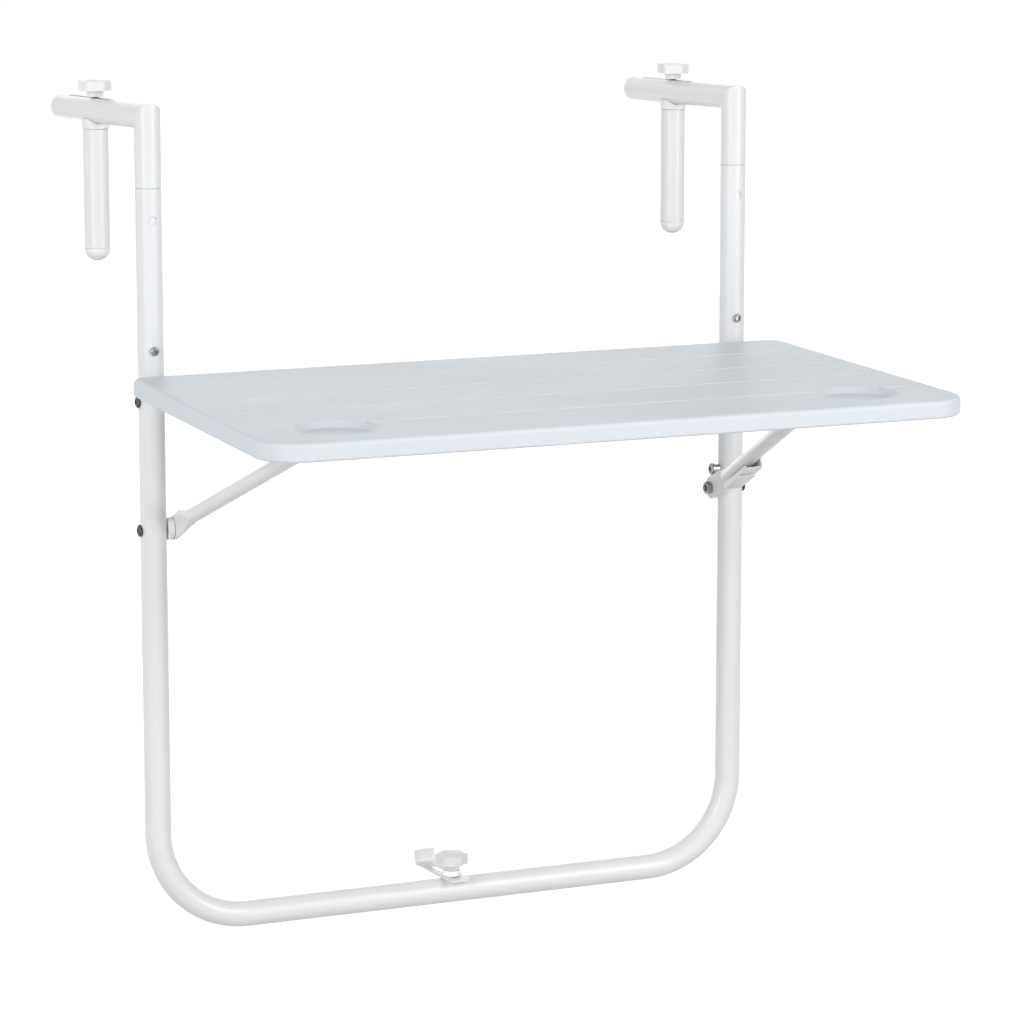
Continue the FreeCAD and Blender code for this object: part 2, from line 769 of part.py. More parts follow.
def fold_clip():
    deep = clip_channel(clip_start, clip_step, clip_deep_reach)
    shallow = clip_channel(clip_step, clip_end, clip_shallow_reach)
    return fused([deep, shallow]).cut(rivet_holes())


def fold_clip_rivets():
    """Blind rivets: a head outside the clip and a bulb inside the leg."""
    seat = bar_radius + moving_gap / 2 + clip_thickness + seat_gap
    bore = bar_radius - bar_wall
    bulb_start = math.sqrt(bore ** 2 - (rivet_bulb_diameter / 2) ** 2) - seat_gap
    rivets = []
    for place in (leg_point(u) for u in rivet_us):
        head_seat = place - clip_side * seat
        bulb_face = place - clip_side * bulb_start
        bulb_end = bulb_face + clip_side * rivet_bulb_length
        head = rod(rivet_head_diameter / 2, head_seat - clip_side * rivet_head_height, head_seat)
        shank = rod(rivet_diameter / 2, head_seat, bulb_end)
        rivets.append(fused([head, shank, rod(rivet_bulb_diameter / 2, bulb_face, bulb_end)]))
    return rivets


# Bolts, nuts and spacers at the two pivots
bracket_inner_x = post_inner_x - moving_gap - bracket_thickness


def pivot_bolt(z, inner_x):
    """Right bolt along X: head outside the post, end past the nut."""
    seat = vec(post_outer_x + seat_gap, 0, z)
    length = seat.x - (inner_x - moving_gap - nut_height - bolt_past_nut)
    return bolt_with_head(seat, axis_x * -1, length, bolt_head_diameter, bolt_head_height)


def both_sides(shape):
    return [mirrored(shape), shape]


def support_spacer():
    start = vec(bar_outer_x + moving_gap, 0, pivot_z)
    end = vec(post_inner_x - seat_gap, 0, pivot_z)
    return rod(spacer_diameter / 2, start, end).cut(rod(bolt_hole_radius, start, end))


def support_stop_bolt():
    head_start = vec(bar_inner_x - stop_head_past_bar, 0, stop_bolt_z)
    head_end = vec(bar_outer_x + stop_head_past_bar, 0, stop_bolt_z)
    neck_end = vec(post_inner_x - seat_gap, 0, stop_bolt_z)
    head = rod(stop_head_diameter / 2, head_start, head_end)
    neck = rod(stop_neck_diameter / 2, head_end, neck_end)
    shank = rod(bolt_radius, neck_end, neck_end + axis_x * stop_shank_length)
    return fused([head, neck, shank]).cut(hex_prism(key_width, head_start, axis_x, key_depth))


def height_screws():
    screws = []
    for side in (-1, 1):
        seat = vec(side * post_x, -tube_radius - seat_gap, lower_hole_z)
        length = tube_wall + seat_gap + sleeve_clearance - moving_gap
        screws.append(bolt_with_head(seat, axis_y, length, height_head_diameter, height_head_height))
    return screws


# Wall stop on the crossbar
stop_turn = math.radians(stop_plate_turn)
stop_way = vec(-math.sin(stop_turn), math.cos(stop_turn), 0)
stop_side = vec(math.cos(stop_turn), math.sin(stop_turn), 0)
plate_low_z = crossbar_z + plate_over_axis
plate_top_z = plate_low_z + stop_plate_thickness
collar_top_z = plate_top_z + moving_gap + stop_collar_height
stop_knob_z = crossbar_z + knob_over_axis
insert_top_z = crossbar_z + math.sqrt(tube_radius ** 2 - (insert_diameter / 2) ** 2)


def on_plate(along, across, z):
    return stop_way * along + stop_side * across + axis_z * z


def wall_stop_plate():
    """Slotted plate with its back end bent up."""
    half = stop_plate_width / 2
    thick = stop_plate_thickness
    inner_bend = stop_lip_bend
    outer_bend = inner_bend + thick
    back = stop_travel_in + stop_lip_offset
    bend_start = back - outer_bend
    bend_z = plate_low_z + outer_bend
    lip_top = plate_low_z + stop_lip_height

    def side(along, z):
        return on_plate(along, -half, z)

    outline = Part.Wire([
        Part.makeLine(side(-stop_plate_front, plate_low_z), side(bend_start, plate_low_z)),
        Part.Arc(side(bend_start, plate_low_z),
                 side(bend_start + outer_bend * half_diagonal, bend_z - outer_bend * half_diagonal),
                 side(back, bend_z)).toShape(),
        Part.makeLine(side(back, bend_z), side(back, lip_top)),
        Part.makeLine(side(back, lip_top), side(back - thick, lip_top)),
        Part.makeLine(side(back - thick, lip_top), side(back - thick, bend_z)),
        Part.Arc(side(back - thick, bend_z),
                 side(bend_start + inner_bend * half_diagonal, bend_z - inner_bend * half_diagonal),
                 side(bend_start, plate_top_z)).toShape(),
        Part.makeLine(side(bend_start, plate_top_z), side(-stop_plate_front, plate_top_z)),
        Part.makeLine(side(-stop_plate_front, plate_top_z), side(-stop_plate_front, plate_low_z)),
    ])
    body = Part.Face(outline).extrude(stop_side * stop_plate_width)
    slot = slot_cutter(on_plate(-stop_travel_out, 0, 0), on_plate(stop_travel_in, 0, 0), slot_width,
                       plate_low_z - 1, plate_top_z + 1)
    return body.cut(slot)


def wall_stop_collar():
    low = vec(0, 0, plate_top_z + moving_gap)
    top = vec(0, 0, collar_top_z)
    foot = stop_collar_diameter / 2
    return cone(foot, foot - stop_collar_taper, low, top).cut(rod(stud_hole_radius, low, top))


def wall_stop_knob():
    return knob(vec(0, 0, stop_knob_z), stop_knob_turn)


def wall_stop_stud():
    low = vec(0, 0, insert_top_z - insert_length + insert_cover)
    return rod(stud_radius, low, vec(0, 0, stop_knob_z + knob_bore_depth - seat_gap))


def wall_stop_insert():
    top = vec(0, 0, insert_top_z)
    low = top - axis_z * insert_length
    return rod(insert_diameter / 2, low, top).cut(rod(stud_hole_radius, low, top))


os.makedirs("parts", exist_ok=True)
export("frame_tube", frame_tube())
export("height_screws", Part.makeCompound(height_screws()))
export("hinge_bolts", Part.makeCompound(both_sides(pivot_bolt(hinge_z, bracket_inner_x))))
export("hinge_nuts", Part.makeCompound(both_sides(nut(bracket_inner_x - moving_gap, hinge_z))))
export("support_pivot_bolts", Part.makeCompound(both_sides(pivot_bolt(pivot_z, bar_inner_x))))
export("support_pivot_nuts", Part.makeCompound(both_sides(nut(bar_inner_x - moving_gap, pivot_z))))
export("support_spacers", Part.makeCompound(both_sides(support_spacer())))
export("support_stop_bolt", support_stop_bolt())
export("wall_stop_insert", wall_stop_insert())

for piece_name, piece in (
    ("hook_tube", hook_tube()),
    ("arm_end_cap", arm_end_cap()),
    ("clamp_tube", clamp_tube()),
    ("clamp_saddle", clamp_saddle()),
    ("clamp_end_cap", clamp_end_cap()),
    ("clamp_stud", clamp_stud()),
    ("hinge_bracket", hinge_bracket()),
):
    export("right_" + piece_name, piece)
    export("left_" + piece_name, mirrored(piece))

export("right_clamp_knob", clamp_knob(right_knob_turn))
export("left_clamp_knob", mirrored(clamp_knob(-left_knob_turn)))
export("tabletop_panel", tabletop_panel())
export("bracket_screws", Part.makeCompound(bracket_screws()))
export("support_bar", support_bar())
export("fold_clip", fold_clip())
export("fold_clip_rivets", Part.makeCompound(fold_clip_rivets()))
export("wall_stop_plate", wall_stop_plate())
export("wall_stop_collar", wall_stop_collar())
export("wall_stop_knob", wall_stop_knob())
export("wall_stop_stud", wall_stop_stud())
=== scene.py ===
import bpy
import math
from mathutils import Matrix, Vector


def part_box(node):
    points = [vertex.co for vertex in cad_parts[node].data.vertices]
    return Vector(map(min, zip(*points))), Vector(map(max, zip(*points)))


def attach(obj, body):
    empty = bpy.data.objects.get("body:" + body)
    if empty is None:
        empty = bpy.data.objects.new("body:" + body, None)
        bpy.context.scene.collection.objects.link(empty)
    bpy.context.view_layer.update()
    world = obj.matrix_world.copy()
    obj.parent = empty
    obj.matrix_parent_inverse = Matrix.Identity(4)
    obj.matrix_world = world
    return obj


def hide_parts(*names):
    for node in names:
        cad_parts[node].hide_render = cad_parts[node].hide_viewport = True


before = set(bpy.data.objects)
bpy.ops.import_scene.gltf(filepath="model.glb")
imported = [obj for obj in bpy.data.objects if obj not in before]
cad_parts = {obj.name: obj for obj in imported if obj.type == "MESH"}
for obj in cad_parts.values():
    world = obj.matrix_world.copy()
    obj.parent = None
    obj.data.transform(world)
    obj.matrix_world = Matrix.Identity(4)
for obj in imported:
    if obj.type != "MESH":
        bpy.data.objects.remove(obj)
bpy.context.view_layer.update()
mm = 0.001

# sizes that several pieces share, in millimetres, in the table's own frame
tubing = {"radius": 11.25, "postX": 271.0, "outerX": 282.25}
levels = {"lowerHole": -185.5, "hinge": -229.5, "pivot": -340.2, "barSeat": -219.56, "tableTop": -202.7}
barReach = 305.0
threadHole = 3.05
xAxis = Vector((1, 0, 0))
yAxis = Vector((0, 1, 0))
zAxis = Vector((0, 0, 1))


# working with objects
def deselectAll():
    if bpy.context.mode != "OBJECT":
        bpy.ops.object.mode_set(mode="OBJECT")
    bpy.ops.object.select_all(action="DESELECT")


def activate(piece, *others):
    deselectAll()
    for one in (piece,) + others:
        one.select_set(True)
    bpy.context.view_layer.objects.active = piece


def named(name):
    piece = bpy.context.active_object
    piece.name = name
    piece.data.name = name
    return piece


def startEditing(piece, mode="VERT"):
    activate(piece)
    bpy.context.tool_settings.mesh_select_mode = (mode == "VERT", mode == "EDGE", mode == "FACE")
    bpy.ops.object.mode_set(mode="EDIT")


def stopEditing():
    bpy.ops.object.mode_set(mode="OBJECT")


def clearPicks(piece):
    deselectAll()
    for group in (piece.data.vertices, piece.data.edges, piece.data.polygons):
        for item in group:
            item.select = False


def pickEdges(piece, rule):
    # rule gets both ends of an edge in millimetres
    clearPicks(piece)
    verts = piece.data.vertices
    for edge in piece.data.edges:
        first, second = (verts[i].co / mm for i in edge.vertices)
        edge.select = rule(first, second)
        if edge.select:
            for i in edge.vertices:
                verts[i].select = True
    startEditing(piece, "EDGE")


def pickFaces(piece, rule):
    # rule gets a face's middle in millimetres and its normal
    clearPicks(piece)
    for face in piece.data.polygons:
        face.select = rule(face.center / mm, face.normal)
        if face.select:
            for i in face.vertices:
                piece.data.vertices[i].select = True
    startEditing(piece, "FACE")


def applyModifier(piece, kind, **settings):
    activate(piece)
    modifier = piece.modifiers.new(kind, kind)
    for key, value in settings.items():
        setattr(modifier, key, value)
    bpy.ops.object.modifier_apply(modifier=modifier.name)


def facesOutward(piece):
    startEditing(piece)
    bpy.ops.mesh.select_all(action="SELECT")
    bpy.ops.mesh.remove_doubles(threshold=0.002 * mm)
    bpy.ops.mesh.normals_make_consistent(inside=False)
    stopEditing()


def cutWith(piece, cutter, operation="DIFFERENCE"):
    applyModifier(piece, "BOOLEAN", object=cutter, operation=operation, solver="EXACT", use_self=True)
    bpy.data.objects.remove(cutter)


def soften(piece, width, angle=32, segments=2):
    # rounds every edge sharper than the angle, then shades the flats flat and the rounds round
    applyModifier(piece, "BEVEL", width=width * mm, segments=segments, limit_method="ANGLE",
                  angle_limit=math.radians(angle), use_clamp_overlap=True, miter_outer="MITER_ARC")
    startEditing(piece)
    bpy.ops.mesh.select_all(action="SELECT")
    bpy.ops.mesh.dissolve_degenerate(threshold=0.01 * mm)
    stopEditing()
    shadeRound(piece)


def shadeRound(piece, angle=40):
    activate(piece)
    bpy.ops.object.shade_smooth_by_angle(angle=math.radians(angle))
    applyModifier(piece, "WEIGHTED_NORMAL", keep_sharp=True, weight=60)


def stand(piece, foot, way=zAxis):
    # stands local Z along a direction, foot in millimetres, and applies the place to the mesh
    piece.location = Vector(foot) * mm
    piece.rotation_mode = "QUATERNION"
    piece.rotation_quaternion = Vector(way).to_track_quat("Z", "Y")
    activate(piece)
    bpy.ops.object.transform_apply(location=True, rotation=True, scale=True)
    return piece


def copied(piece, name):
    activate(piece)
    bpy.ops.object.duplicate(linked=False)
    return named(name)


def mirroredCopy(piece, name):
    twin = copied(piece, name)
    twin.scale.x = -1
    activate(twin)
    bpy.ops.object.transform_apply(location=False, rotation=False, scale=True)
    startEditing(twin)
    bpy.ops.mesh.select_all(action="SELECT")
    bpy.ops.mesh.normals_make_consistent(inside=False)
    stopEditing()
    shadeRound(twin)
    return twin


def joined(name, *pieces):
    activate(*pieces)
    bpy.ops.object.join()
    return named(name)


# basic shapes made by extruding
def turned(name, rings, segments=48, bored=False):
    # rings are (radius, height), each extruded from the one before; a bored piece ends on its first ring
    deselectAll()
    radius, height = rings[0]
    bpy.ops.mesh.primitive_circle_add(vertices=segments, radius=radius * mm, fill_type="NOTHING",
                                      location=(0, 0, height * mm))
    piece = named(name)
    activate(piece)
    bpy.ops.object.transform_apply(location=True, rotation=True, scale=True)
    startEditing(piece)
    bpy.ops.mesh.select_all(action="SELECT")
    if not bored:
        bpy.ops.mesh.edge_face_add()
    for (lastRadius, lastHeight), (nextRadius, nextHeight) in zip(rings, rings[1:]):
        rise = (nextHeight - lastHeight) * mm
        if bored:
            bpy.ops.mesh.extrude_edges_move(TRANSFORM_OT_translate={"value": (0, 0, rise)})
        else:
            bpy.ops.mesh.extrude_region_move(TRANSFORM_OT_translate={"value": (0, 0, rise)})
        if nextRadius == 0:
            bpy.ops.mesh.merge(type="CENTER")
        else:
            scale = nextRadius / lastRadius
            bpy.ops.transform.resize(value=(scale, scale, 1), center_override=(0, 0, nextHeight * mm))
    stopEditing()
    facesOutward(piece)
    return piece


def outlined(name, corners, depth):
    # a plate: one point is extruded round the outline, filled, and extruded to its thickness
    deselectAll()
    bpy.ops.mesh.primitive_plane_add(size=mm)
    piece = named(name)
    startEditing(piece)
    bpy.ops.mesh.select_all(action="SELECT")
    bpy.ops.mesh.merge(type="CENTER")
    points = [Vector(corner) * mm for corner in corners]
    bpy.ops.transform.translate(value=points[0])
    for last, following in zip(points, points[1:]):
        bpy.ops.mesh.extrude_region_move(TRANSFORM_OT_translate={"value": following - last})
    bpy.ops.mesh.select_all(action="SELECT")
    bpy.ops.mesh.edge_face_add()
    bpy.ops.mesh.extrude_region_move(TRANSFORM_OT_translate={"value": Vector(depth) * mm})
    stopEditing()
    facesOutward(piece)
    return piece


def block(name, low, high):
    deselectAll()
    size = (Vector(high) - Vector(low)) * mm
    bpy.ops.mesh.primitive_cube_add(size=1, location=(Vector(high) + Vector(low)) * mm / 2, scale=size)
    piece = named(name)
    activate(piece)
    bpy.ops.object.transform_apply(location=True, rotation=True, scale=True)
    return piece


def drill(name, radius, foot, way, length, segments=32):
    deselectAll()
    bpy.ops.mesh.primitive_cylinder_add(vertices=segments, radius=radius * mm, depth=length * mm,
                                        location=(0, 0, length * mm / 2))
    piece = named(name)
    activate(piece)
    bpy.ops.object.transform_apply(location=True, rotation=True, scale=True)
    return stand(piece, foot, way)


def hexBar(name, acrossFlats, foot, way, length):
    return drill(name, acrossFlats / math.sqrt(3), foot, way, length, segments=6)


def softCopy(node, name, width):
    # a CAD sheet part with its edges rounded, as bent and coated sheet has them
    piece = copied(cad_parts[node], name)
    for key in list(piece.keys()):
        del piece[key]
    piece.parent = None
    piece.data.materials.clear()
    startEditing(piece)
    bpy.ops.mesh.select_all(action="SELECT")
    bpy.ops.mesh.remove_doubles(threshold=0.002 * mm)
    bpy.ops.mesh.dissolve_limited(angle_limit=math.radians(1.5))
    stopEditing()
    if piece.data.has_custom_normals:
        activate(piece)
        bpy.ops.mesh.customdata_custom_splitnormals_clear()
    soften(piece, width)
    return piece


def fit(piece, body, slot, finish, *nodes):
    piece.data.materials.clear()
    piece.data.materials.append(finish)
    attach(piece, body)
    if nodes:
        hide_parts(*nodes)
    return piece


# finishes
class Wire:
    # a shader output that plain arithmetic can be written on
    def __init__(self, finish, socket):
        self.finish = finish
        self.socket = socket

    def maths(self, operation, first, second):
        return self.finish.add("ShaderNodeMath", {"operation": operation}, {0: first, 1: second})

    def __add__(self, other):
        return self.maths("ADD", self, other)

    def __radd__(self, other):
        return self.maths("ADD", other, self)

    def __sub__(self, other):
        return self.maths("SUBTRACT", self, other)

    def __rsub__(self, other):
        return self.maths("SUBTRACT", other, self)

    def __mul__(self, other):
        return self.maths("MULTIPLY", self, other)

    def __rmul__(self, other):
        return self.maths("MULTIPLY", other, self)


class Finish:
    def __init__(self, name, shader="ShaderNodeBsdfPrincipled"):
        self.material = bpy.data.materials.new(name)
        self.material.use_nodes = True
        self.tree = self.material.node_tree
        self.start(shader)

    def start(self, shader):
        self.tree.nodes.clear()
        self.output = self.tree.nodes.new("ShaderNodeOutputMaterial")
        self.shader = self.tree.nodes.new(shader)
        self.tree.links.new(self.shader.outputs[0], self.output.inputs["Surface"])

    def add(self, kind, settings=None, values=None, output=0):
        node = self.tree.nodes.new(kind)
        for key, value in (settings or {}).items():
            if key == "stops":
                for element, (place, colour) in zip(node.color_ramp.elements, value):
                    element.position = place
                    element.color = colour + (1,)
            else:
                setattr(node, key, value)
        for key, value in (values or {}).items():
            self.feed(node.inputs[key], value)
        return Wire(self, node.outputs[output])

    def feed(self, socket, value):
        if isinstance(value, Wire):
            self.tree.links.new(value.socket, socket)
        else:
            socket.default_value = value

    def wear(self, **values):
        for key, value in values.items():
            self.feed(self.shader.inputs[key.replace("_", " ")], value)

    def place(self, stretch=(1, 1, 1)):
        coordinates = self.add("ShaderNodeTexCoord", output=3)
        return self.add("ShaderNodeMapping", None, {"Vector": coordinates, "Scale": stretch})

    def noise(self, size, detail=2.0, stretch=(1, 1, 1), roughness=0.5):
        # size is the width of one blotch, in millimetres
        return self.add("ShaderNodeTexNoise", None,
                        {"Vector": self.place(stretch), "Scale": 1 / (size * mm), "Detail": detail,
                         "Roughness": roughness})

    def tint(self, factor, first, second):
        return self.add("ShaderNodeMix", {"data_type": "RGBA"},
                        {0: factor, 6: first + (1,), 7: second + (1,)}, output=2)

    def bump(self, height, depth, strength=1.0):
        return self.add("ShaderNodeBump", None,
                        {"Height": height, "Distance": depth * mm, "Strength": strength})


powderCoat = {"light": (0.87, 0.876, 0.882), "shade": (0.845, 0.853, 0.862), "roughness": 0.34,
              "peelSize": 1.6, "peelDepth": 0.03, "cloudSize": 90.0}
sheetCoat = {"light": (0.85, 0.856, 0.862), "shade": (0.82, 0.828, 0.836), "roughness": 0.38,
             "peelSize": 1.3, "peelDepth": 0.03, "cloudSize": 30.0}


def coatedSteel(name, look):
    # baked powder coat: faint orange peel, slow drift in tone, a few dust nibs
    finish = Finish(name)
    cloud = finish.noise(look["cloudSize"], 3.0)
    peel = finish.noise(look["peelSize"], 2.0)
    nibs = finish.noise(look["peelSize"] * 2.5, 0.0)
    nibs = finish.add("ShaderNodeMapRange", None, {"Value": nibs, "From Min": 0.72, "From Max": 0.8})
    finish.wear(Base_Color=finish.tint(cloud, look["shade"], look["light"]),
                Roughness=look["roughness"] + (cloud - 0.5) * 0.12 + (peel - 0.5) * 0.05,
                Normal=finish.bump(peel + nibs * 1.5, look["peelDepth"]))
    finish.wear(Coat_Weight=0.15, Coat_Roughness=0.18)
    return finish.material


tableLook = {"light": (0.764, 0.812, 0.850), "shade": (0.736, 0.786, 0.827), "roughness": 0.48,
             "shine": 0.3, "grainSize": 1.1, "grainLength": 7.0, "grainDepth": 0.05, "cloudSize": 60.0}


def mouldedTable(name, look):
    # moulded panel: fine grain that runs along the slats, slow drift in gloss
    finish = Finish(name)
    grain = finish.noise(look["grainSize"], 3.0, (1 / look["grainLength"], 1, 1), 0.6)
    pores = finish.noise(look["grainSize"] * 0.5, 1.0)
    cloud = finish.noise(look["cloudSize"], 4.0, (0.4, 1, 1))
    finish.wear(Base_Color=finish.tint(cloud * 0.7 + grain * 0.3, look["shade"], look["light"]),
                Roughness=look["roughness"] + (cloud - 0.5) * 0.16 + (pores - 0.5) * 0.06,
                Specular_IOR_Level=look["shine"], Normal=finish.bump(grain + pores * 0.4, look["grainDepth"]))
    return finish.material


whiteMoulding = {"light": (0.94, 0.943, 0.947), "shade": (0.915, 0.92, 0.928), "roughness": 0.38,
                 "grainSize": 0.7, "grainDepth": 0.02, "cloudSize": 12.0}
greyMoulding = {"light": (0.83, 0.834, 0.838), "shade": (0.79, 0.795, 0.80), "roughness": 0.45,
                "grainSize": 0.7, "grainDepth": 0.03, "cloudSize": 10.0}


def smallMoulding(name, look):
    # injection-moulded small part: spark-eroded texture and faint flow marks
    finish = Finish(name)
    cloud = finish.noise(look["cloudSize"], 3.0)
    grain = finish.noise(look["grainSize"], 1.0)
    finish.wear(Base_Color=finish.tint(cloud, look["shade"], look["light"]),
                Roughness=look["roughness"] + (cloud - 0.5) * 0.14 + (grain - 0.5) * 0.08,
                Normal=finish.bump(grain, look["grainDepth"]))
    return finish.material


blackBolt = {"light": (0.10, 0.101, 0.105), "shade": (0.035, 0.035, 0.04), "roughness": 0.24, "metal": 0.85}
nickelPlate = {"light": (0.86, 0.862, 0.868), "shade": (0.78, 0.785, 0.795), "roughness": 0.5, "metal": 0.6}
zincPlate = {"light": (0.36, 0.365, 0.375), "shade": (0.20, 0.205, 0.215), "roughness": 0.26, "metal": 1.0}


def platedSteel(name, look):
    # plated fastener: cloudy crystals in the plating, fine tool marks
    finish = Finish(name)
    cloud = finish.noise(2.4, 4.0)
    marks = finish.noise(0.35, 2.0)
    finish.wear(Base_Color=finish.tint(cloud, look["shade"], look["light"]),
                Roughness=look["roughness"] + (cloud - 0.5) * 0.25 + (marks - 0.5) * 0.1,
                Metallic=look["metal"], Normal=finish.bump(marks, 0.008))
    return finish.material


finishes = {
    "whiteTube": coatedSteel("whiteTubeCoat", powderCoat),
    "whiteSheet": coatedSteel("whiteSheetCoat", sheetCoat),
    "table": mouldedTable("tableMoulding", tableLook),
    "whitePlastic": smallMoulding("whiteMoulding", whiteMoulding),
    "greyPlastic": smallMoulding("greyMoulding", greyMoulding),
    "bolt": platedSteel("blackBolt", blackBolt),
    "zinc": platedSteel("zincPlate", zincPlate),
    "nickel": platedSteel("nickelPlate", nickelPlate),
}
for nodeName in ("frame_tube", "left_hook_tube", "right_hook_tube", "left_clamp_tube", "right_clamp_tube",
                 "support_bar"):
    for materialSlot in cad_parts[nodeName].material_slots:
        materialSlot.material = finishes["whiteTube"]
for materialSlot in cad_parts["wall_stop_insert"].material_slots:
    materialSlot.material = finishes["zinc"]
print("finishes made")


# tabletop
top = {"halfWidth": 300.0, "back": -33.5, "front": -396.5, "skirt": 15.0, "panel": 3.0, "wall": 2.5,
       "frontRadius": 35.0, "backRadius": 15.0, "edgeRadius": 4.0, "skirtEdge": 2.0,
       "grooves": (-318.0, -246.5, -175.0, -103.5),
       "grooveProfile": ((2.9, 0.5), (2.45, 0.0), (2.25, -0.07), (2.15, -0.22), (1.7, -1.3), (1.5, -1.5)),
       "grooveEnd": 15.0, "recessX": 224.0, "recessY": -334.0, "drainShift": 32.5, "drainRadius": 2.75,
       "ribWidth": 1.8, "ribDepth": 4.5, "catchX": (-135.0, -45.0, 45.0, 135.0), "catchWidth": 2.6,
       "catchBack": -254.13, "catchFront": -290.93, "catchSeat": -212.76, "lipFront": -296.93,
       "lipLow": -217.56, "bossX": 242.45, "bossY": (-52.0, -80.0), "bossRadius": 6.0, "bossLow": -211.8,
       "screwHole": 2.05, "screwHoleRise": 17.3, "ribEnd": 1.2, "ribsAcross": 7, "ribsAlong": 4,
       "cupRings": ((29.2, -8.0), (35.1, -1.5)),
       "recessRings": ((27.4, -5.5), (28.4, -5.3), (29.1, -4.8), (33.5, -0.7), (34.1, -0.25),
                       (34.9, 0.0), (36.5, 0.3)),
       "drillBelow": 20.0, "grooveRunOut": 3.0}


def tabletopShell():
    level = levels["tableTop"]
    low = level - top["skirt"]
    shell = block("tabletop", (-top["halfWidth"], top["front"], low), (top["halfWidth"], top["back"], level))
    middle = (top["front"] + top["back"]) / 2
    for isCorner, radius, segments in ((lambda y: y < middle, top["frontRadius"], 20),
                                       (lambda y: y > middle, top["backRadius"], 10)):
        pickEdges(shell, lambda a, b: abs(a.z - b.z) > 1 and abs(a.x - b.x) + abs(a.y - b.y) < 0.1
                  and abs(a.x) > top["halfWidth"] - 0.1 and isCorner(a.y))
        bpy.ops.mesh.bevel(offset=radius * mm, segments=segments, affect="EDGES")
        stopEditing()
    for rim, radius in ((level, top["edgeRadius"]), (low, top["skirtEdge"])):
        pickEdges(shell, lambda a, b: abs(a.z - rim) < 0.1 and abs(b.z - rim) < 0.1)
        bpy.ops.mesh.bevel(offset=radius * mm, segments=6, affect="EDGES")
        stopEditing()
    pickFaces(shell, lambda middle, normal: middle.z < low + 0.1)
    bpy.ops.mesh.inset(thickness=(top["wall"] - top["skirtEdge"]) * mm)
    bpy.ops.mesh.extrude_region_move(
        TRANSFORM_OT_translate={"value": (0, 0, (top["skirt"] - top["panel"]) * mm)})
    stopEditing()
    facesOutward(shell)
    return shell


def tabletopRibs():
    level = levels["tableTop"]
    under = level - top["panel"]
    inside = level - top["panel"] / 2
    low = under - top["ribDepth"]
    half = top["ribWidth"] / 2
    width = top["halfWidth"] - top["ribEnd"]
    back, front = top["back"] - top["ribEnd"], top["front"] + top["ribEnd"]
    pieces = []
    for i in range(top["ribsAcross"]):
        x = top["halfWidth"] * (2 * (i + 1) / (top["ribsAcross"] + 1) - 1)
        pieces.append(block("rib", (x - half, front, low), (x + half, back, inside)))
    for i in range(top["ribsAlong"]):
        y = top["back"] + (top["front"] - top["back"]) * (i + 1) / (top["ribsAlong"] + 1)
        pieces.append(block("rib", (-width, y - half, low), (width, y + half, inside)))
    half = top["catchWidth"] / 2
    for x in top["catchX"]:
        pieces.append(block("catch", (x - half, top["catchFront"], top["catchSeat"]),
                            (x + half, top["catchBack"], inside)))
        pieces.append(block("catchLip", (x - half, top["lipFront"], top["lipLow"]),
                            (x + half, top["catchFront"] + 0.01, inside)))
    for side in (-1, 1):
        for y in top["bossY"]:
            pieces.append(drill("boss", top["bossRadius"], (side * top["bossX"], y, top["bossLow"]), zAxis,
                                inside - top["bossLow"]))
        cup = turned("cup", top["cupRings"], 72)
        pieces.append(stand(cup, (side * top["recessX"], top["recessY"], level)))
    return joined("ribs", *pieces)


def tabletopCutters():
    level = levels["tableTop"]
    below = level - top["drillBelow"]
    pieces = []
    for side in (-1, 1):
        recess = turned("recess", top["recessRings"], 96)
        pieces.append(stand(recess, (side * top["recessX"], top["recessY"], level)))
        drain = (side * top["recessX"] + top["drainShift"], top["grooves"][0], below)
        pieces.append(drill("drain", top["drainRadius"], drain, zAxis, 30))
        for y in top["bossY"]:
            pieces.append(drill("screwHole", top["screwHole"], (side * top["bossX"], y, below), zAxis,
                                top["screwHoleRise"], 16))
    reach = top["halfWidth"] - top["grooveEnd"]
    outline = [(-reach, -half, level + height) for half, height in top["grooveProfile"]]
    outline += [(-reach, half, level + height) for half, height in reversed(top["grooveProfile"])]
    groove = outlined("groove", outline, (2 * reach, 0, 0))
    pickFaces(groove, lambda middle, normal: normal.z < -0.9)
    # the ends run out
    bpy.ops.transform.resize(value=(1 - top["grooveRunOut"] / reach, 1, 1), center_override=(0, 0, 0))
    stopEditing()
    for y in top["grooves"]:
        one = copied(groove, "groove")
        one.location.y = y * mm
        activate(one)
        bpy.ops.object.transform_apply(location=True, rotation=True, scale=True)
        pieces.append(one)
    bpy.data.objects.remove(groove)
    return joined("cutters", *pieces)


def makeTabletop():
    panel = tabletopShell()
    cutWith(panel, tabletopRibs(), "UNION")
    cutWith(panel, tabletopCutters())
    facesOutward(panel)
    shadeRound(panel, 35)
    fit(panel, "tabletop", "table_plastic", finishes["table"], "tabletop_panel")
    print("tabletop made", len(panel.data.polygons))


makeTabletop()

# knobs
knob = {"edge": 14.6, "stemTop": 5.5, "capTop": 13.7, "crown": 14.7, "foot": 7.1, "stem": 7.7,
        "studDepth": 10.5, "notches": 6, "notchRadius": 14.0, "notchDepth": 2.3, "soft": 1.1,
        "turn": {"right": 5.0, "left": 14.0, "stop": 9.0}}


